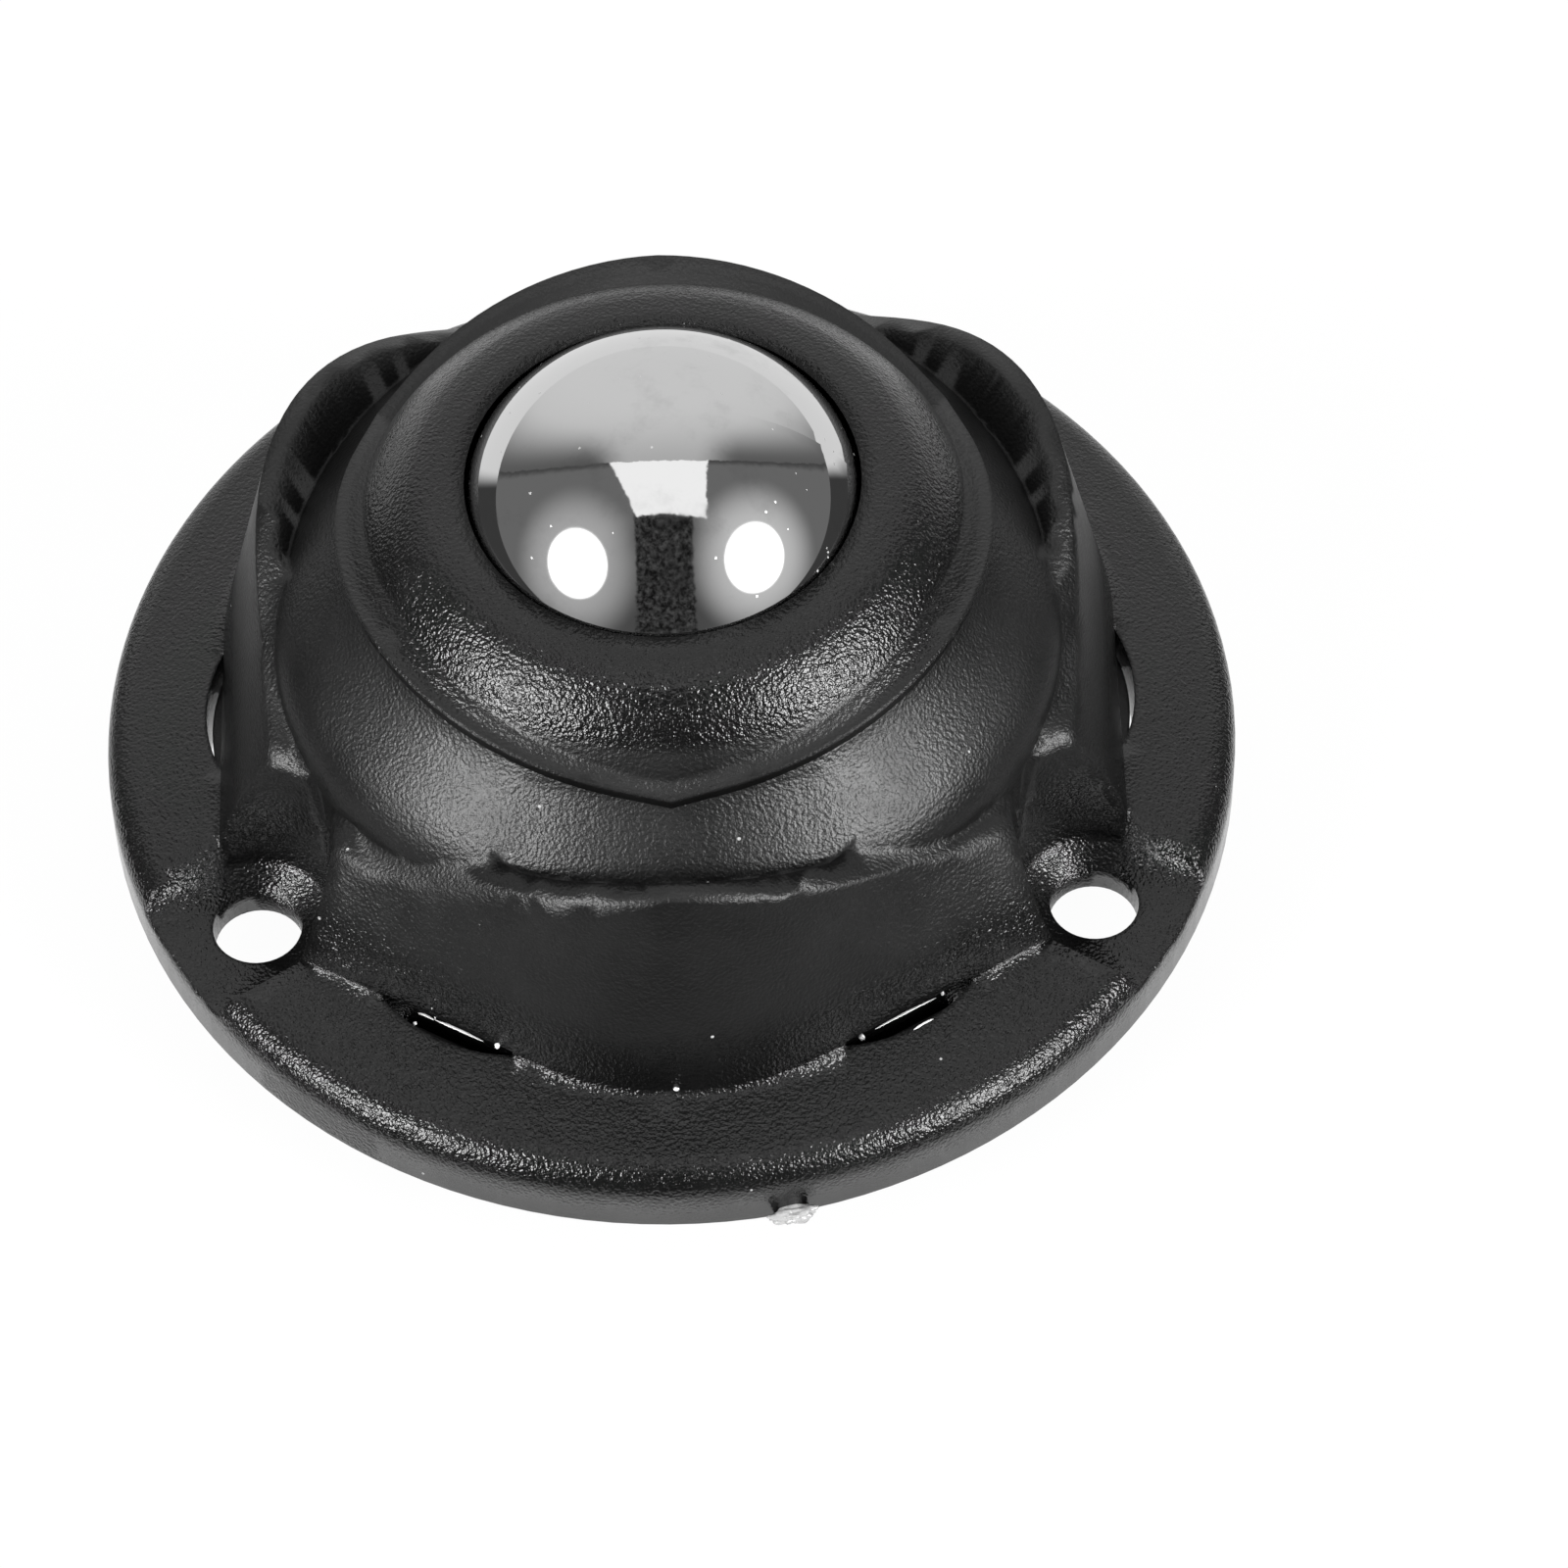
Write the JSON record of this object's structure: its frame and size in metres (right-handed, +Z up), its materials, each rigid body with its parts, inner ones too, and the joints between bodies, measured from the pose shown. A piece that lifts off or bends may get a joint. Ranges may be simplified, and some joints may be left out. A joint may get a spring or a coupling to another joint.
{
  "type": "adhesive furniture caster",
  "caption": "Low three-lobed furniture caster with a steel ball turning on a bed of small balls, fixed by an adhesive foam pad or by screws through its flange.",
  "frame": {"origin": "middle of the liner's underside, the face that the caster lies on", "axes": "+Z up through the ball, -Y along the middle of one of the three lobes"},
  "size_m": [0.045, 0.045, 0.025],
  "materials": {
    "housing_plastic": "fine-grained black moulding",
    "plate_plastic": "smooth black moulding",
    "cup_steel": "pressed zinc-plated sheet",
    "ball_chrome": "polished",
    "support_ball_steel": "polished bearing steel",
    "adhesive_foam": "closed-cell foam",
    "liner_film": "smooth waxed paper"
  },
  "bodies": {
    "base": {"housing": "housing_plastic", "bottom_plate": "plate_plastic", "bearing_cup": "cup_steel", "foam_pad": "adhesive_foam", "release_liner": "liner_film"},
    "ball_bed": {"support_ball_0_01": "support_ball_steel", "support_ball_1_01": "support_ball_steel", "support_ball_1_02": "support_ball_steel", "support_ball_1_03": "support_ball_steel", "support_ball_1_04": "support_ball_steel", "support_ball_1_05": "support_ball_steel", "support_ball_1_06": "support_ball_steel", "support_ball_2_01": "support_ball_steel", "support_ball_2_02": "support_ball_steel", "support_ball_2_03": "support_ball_steel", "support_ball_2_04": "support_ball_steel", "support_ball_2_05": "support_ball_steel", "support_ball_2_06": "support_ball_steel", "support_ball_2_07": "support_ball_steel", "support_ball_2_08": "support_ball_steel", "support_ball_2_09": "support_ball_steel", "support_ball_2_10": "support_ball_steel", "support_ball_2_11": "support_ball_steel", "support_ball_3_01": "support_ball_steel", "support_ball_3_02": "support_ball_steel", "support_ball_3_03": "support_ball_steel", "support_ball_3_04": "support_ball_steel", "support_ball_3_05": "support_ball_steel", "support_ball_3_06": "support_ball_steel", "support_ball_3_07": "support_ball_steel", "support_ball_3_08": "support_ball_steel", "support_ball_3_09": "support_ball_steel", "support_ball_3_10": "support_ball_steel", "support_ball_3_11": "support_ball_steel", "support_ball_3_12": "support_ball_steel", "support_ball_3_13": "support_ball_steel", "support_ball_3_14": "support_ball_steel", "support_ball_3_15": "support_ball_steel", "support_ball_3_16": "support_ball_steel"},
    "ball": {"main_ball": "ball_chrome"}
  },
  "joints": [
    {"name": "bed_turn", "type": "hinge", "parent": "base", "child": "ball_bed", "pos_m": [0, 0, 0.0165], "axis": [0, 0, 1], "continuous": true},
    {"name": "ball_roll", "type": "hinge", "parent": "ball_bed", "child": "ball", "pos_m": [0, 0, 0.0165], "axis": [1, 0, 0], "continuous": true}
  ]
}
